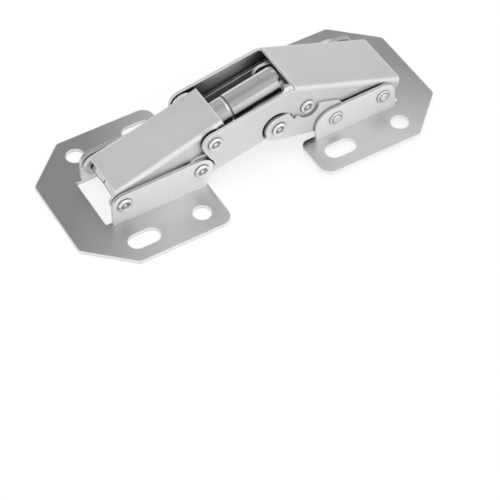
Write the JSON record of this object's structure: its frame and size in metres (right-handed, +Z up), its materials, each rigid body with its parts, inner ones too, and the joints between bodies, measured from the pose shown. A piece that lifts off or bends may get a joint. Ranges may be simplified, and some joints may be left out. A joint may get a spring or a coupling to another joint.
{
  "type": "concealed hinge",
  "caption": "Surface-mounted soft-close cabinet hinge: two chamfered screw-on bases joined by folding riveted sheet-metal links under a cover channel, with a hydraulic damper between the side plates",
  "frame": {"origin": "middle of the cabinet base's screw pattern, on its underside, in the hinge's middle plane", "axes": "+X along the open hinge from the cabinet base to the door base, +Y along the pivot pins towards the far side, +Z up from the mounting surface"},
  "size_m": [0.1149, 0.05, 0.0238],
  "materials": {
    "base_steel": "satin",
    "channel_steel": "satin",
    "link_steel": "satin",
    "rivet_steel": "satin",
    "damper_shell": "satin",
    "damper_collar": "satin",
    "rod_steel": "polished",
    "piston_plastic": "matte"
  },
  "bodies": {
    "cabinet_side": {"cabinet_base": "base_steel", "foot_axle": "rivet_steel", "link_foot_rivet_near": "link_steel", "link_foot_rivet_far": "link_steel"},
    "arm": {"arm_channel": "channel_steel", "knee_rivet_tail_near": "rivet_steel", "knee_rivet_tail_far": "rivet_steel"},
    "inner_links": {"inner_link_near": "link_steel", "inner_link_far": "link_steel", "toggle_rivet_near": "rivet_steel", "toggle_rivet_far": "rivet_steel"},
    "cover": {"cover_channel": "channel_steel", "damper_bracket": "link_steel", "crossing_rivet_near": "rivet_steel", "crossing_rivet_far": "rivet_steel", "knee_rivet_near": "rivet_steel", "knee_rivet_far": "rivet_steel", "knee_washer_near": "rivet_steel", "knee_washer_far": "rivet_steel", "door_foot_rivet_tail_near": "rivet_steel", "door_foot_rivet_tail_far": "rivet_steel"},
    "outer_links": {"outer_link_near": "link_steel", "outer_link_far": "link_steel"},
    "door_side": {"door_base": "base_steel", "door_link_rivet_near": "rivet_steel", "door_link_rivet_far": "rivet_steel", "door_foot_rivet_near": "rivet_steel", "door_foot_rivet_far": "rivet_steel"},
    "damper_body": {"damper_barrel": "damper_shell", "damper_sleeve": "damper_collar"},
    "damper_piston_rod": {"damper_rod": "rod_steel", "damper_piston": "piston_plastic", "damper_foot_pad": "rod_steel"}
  },
  "joints": [
    {"name": "fold", "type": "hinge", "parent": "cabinet_side", "child": "inner_links", "pos_m": [0.0149, 0, 0.0074], "axis": [0, -1, 0], "range_deg": [0, 119.1]},
    {"name": "arm_turn", "type": "hinge", "parent": "cabinet_side", "child": "arm", "pos_m": [-0.009, 0, 0.007], "axis": [0, -1, 0], "range_deg": [0, 134.6]},
    {"name": "cover_turn", "type": "hinge", "parent": "inner_links", "child": "cover", "pos_m": [0.0487, 0, 0.015], "axis": [0, -1, 0], "range_deg": [-93.67, 0]},
    {"name": "outer_link_turn", "type": "hinge", "parent": "inner_links", "child": "outer_links", "pos_m": [0.0391, 0, 0.0119], "axis": [0, -1, 0], "range_deg": [-120.27, 0]},
    {"name": "door_turn", "type": "hinge", "parent": "outer_links", "child": "door_side", "pos_m": [0.0573, 0, 0.0076], "axis": [0, -1, 0], "range_deg": [0, 91.14]},
    {"name": "damper_turn", "type": "hinge", "parent": "cover", "child": "damper_body", "pos_m": [0.0425, 0, 0.0187], "axis": [0, -1, 0], "range_deg": [0, 65.1]},
    {"name": "damper_slide", "type": "slide", "parent": "damper_body", "child": "damper_piston_rod", "axis": [0.9752, 0, 0.2215], "range_m": [0, 0.02521]}
  ],
  "couplings": [
    {"joint": "arm_turn", "follows": "fold", "ratio": 1.1298},
    {"joint": "cover_turn", "follows": "fold", "ratio": -0.78609},
    {"joint": "outer_link_turn", "follows": "fold", "ratio": -1.0094},
    {"joint": "door_turn", "follows": "fold", "ratio": 0.76481},
    {"joint": "damper_turn", "follows": "fold", "ratio": 0.54618},
    {"joint": "damper_slide", "follows": "fold", "m_per_rad": 0.012105}
  ]
}
